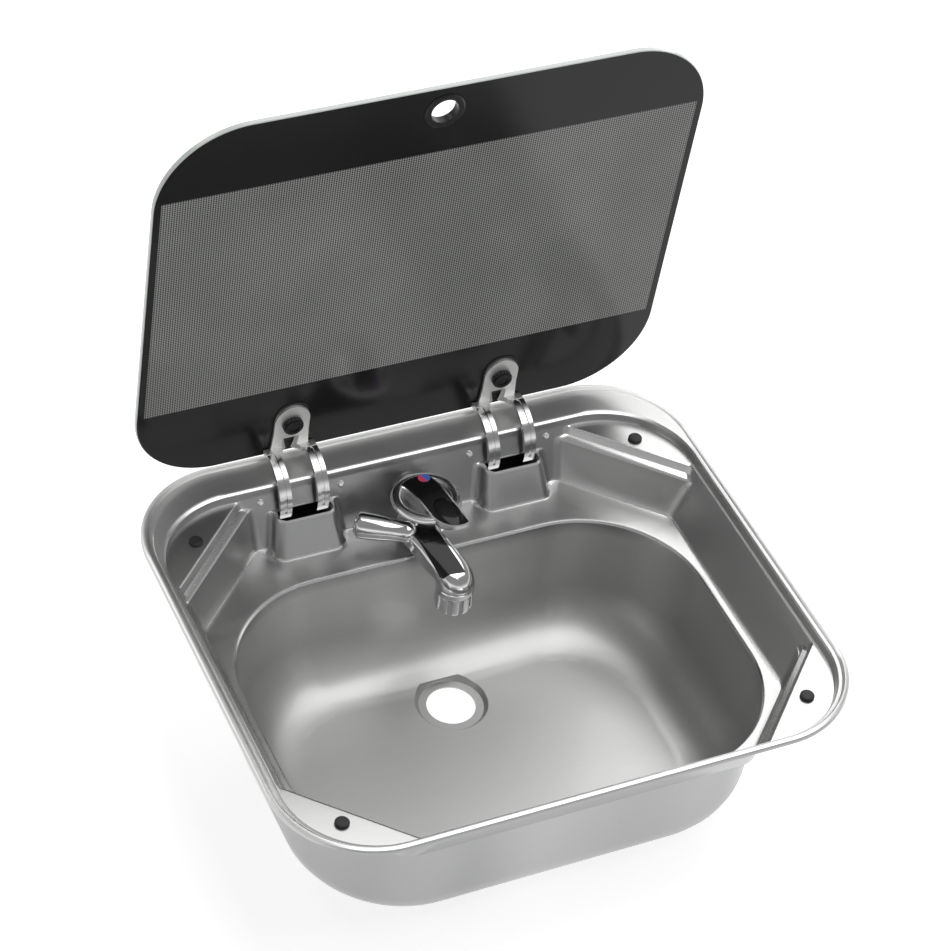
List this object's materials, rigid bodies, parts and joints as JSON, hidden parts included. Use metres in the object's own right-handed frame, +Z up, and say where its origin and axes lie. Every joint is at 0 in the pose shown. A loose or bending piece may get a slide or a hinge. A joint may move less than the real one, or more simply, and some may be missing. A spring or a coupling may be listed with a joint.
{
  "type": "drop-in wash-up sink with hinged glass lid and lever tap",
  "caption": "Rectangular pressed steel drop-in sink with rounded corners, a dark printed glass lid on two curved-arm hinges and a low chrome single-lever tap.",
  "frame": {"origin": "centre of the worktop cut-out, on the worktop's top plane", "axes": "+X to the user's right, +Y to the rear where the lid hinges, +Z up"},
  "size_m": [0.42, 0.37, 0.4793],
  "materials": {
    "pressed_steel": "satin brushed stainless",
    "seal_foam": "matt closed foam",
    "buffer_rubber": "matt",
    "housing_plastic": "fine grain",
    "black_plastic": "semi-gloss",
    "rivet_metal": "bright",
    "pin_steel": "turned",
    "bright_metal": "polished",
    "plate_metal": "satin",
    "lid_glass": "dark screen-printed safety glass",
    "tap_chrome": "polished",
    "tap_black": "high gloss",
    "tap_brass": "turned",
    "dot_red": "gloss",
    "dot_blue": "gloss"
  },
  "bodies": {
    "sink": {"aerator_housing": "tap_chrome", "aerator_insert": "housing_plastic", "cartridge_nut": "pin_steel", "cartridge_sleeve": "housing_plastic", "hinge_housing_left": "housing_plastic", "hinge_housing_right": "housing_plastic", "hinge_pin_left": "pin_steel", "hinge_pin_right": "pin_steel", "hinge_rivets_left": "rivet_metal", "hinge_rivets_right": "rivet_metal", "lid_bumper_front_left": "buffer_rubber", "lid_bumper_front_right": "buffer_rubber", "lid_bumper_rear_left": "buffer_rubber", "lid_bumper_rear_right": "buffer_rubber", "rim_seal": "seal_foam", "sink_bowl": "pressed_steel", "spout": "tap_chrome", "spout_inlay_front": "tap_black", "spout_inlay_rear": "tap_black", "tap_arm": "tap_chrome", "tap_body": "tap_chrome", "tap_end_cap": "tap_chrome", "tap_nut": "pin_steel", "tap_rosette": "tap_chrome", "tap_seal": "buffer_rubber", "tap_stem": "pin_steel", "tap_washer": "pin_steel"},
    "lid": {"lid_glass": "lid_glass", "finger_grommet": "black_plastic", "hinge_arm_outer_left": "bright_metal", "hinge_arm_inner_left": "bright_metal", "hinge_plate_left": "plate_metal", "hinge_gasket_left": "buffer_rubber", "hinge_cap_left": "black_plastic", "hinge_outer_disc_left": "black_plastic", "hinge_arm_outer_right": "bright_metal", "hinge_arm_inner_right": "bright_metal", "hinge_plate_right": "plate_metal", "hinge_gasket_right": "buffer_rubber", "hinge_cap_right": "black_plastic", "hinge_outer_disc_right": "black_plastic"},
    "tap_spindle": {"cartridge_spindle": "tap_brass", "lever_pin": "pin_steel"},
    "tap_lever": {"lever_handle": "tap_chrome", "lever_inlay": "tap_black", "lever_button": "tap_black", "dot_hot": "dot_red", "dot_cold": "dot_blue"}
  },
  "joints": [
    {"name": "lid_hinge", "type": "hinge", "parent": "sink", "child": "lid", "pos_m": [0, 0.1701, -0.01325], "axis": [1, 0, 0], "range_deg": [0, 84]},
    {"name": "lever_turn", "type": "hinge", "parent": "sink", "child": "tap_spindle", "pos_m": [0.0022, 0.1183, -0.0135], "axis": [0, 0, 1], "range_deg": [-45, 45]},
    {"name": "lever_lift", "type": "hinge", "parent": "tap_spindle", "child": "tap_lever", "pos_m": [0.0022, 0.1183, -0.0135], "axis": [-0.9744, -0.225, 0], "range_deg": [0, 7]}
  ]
}
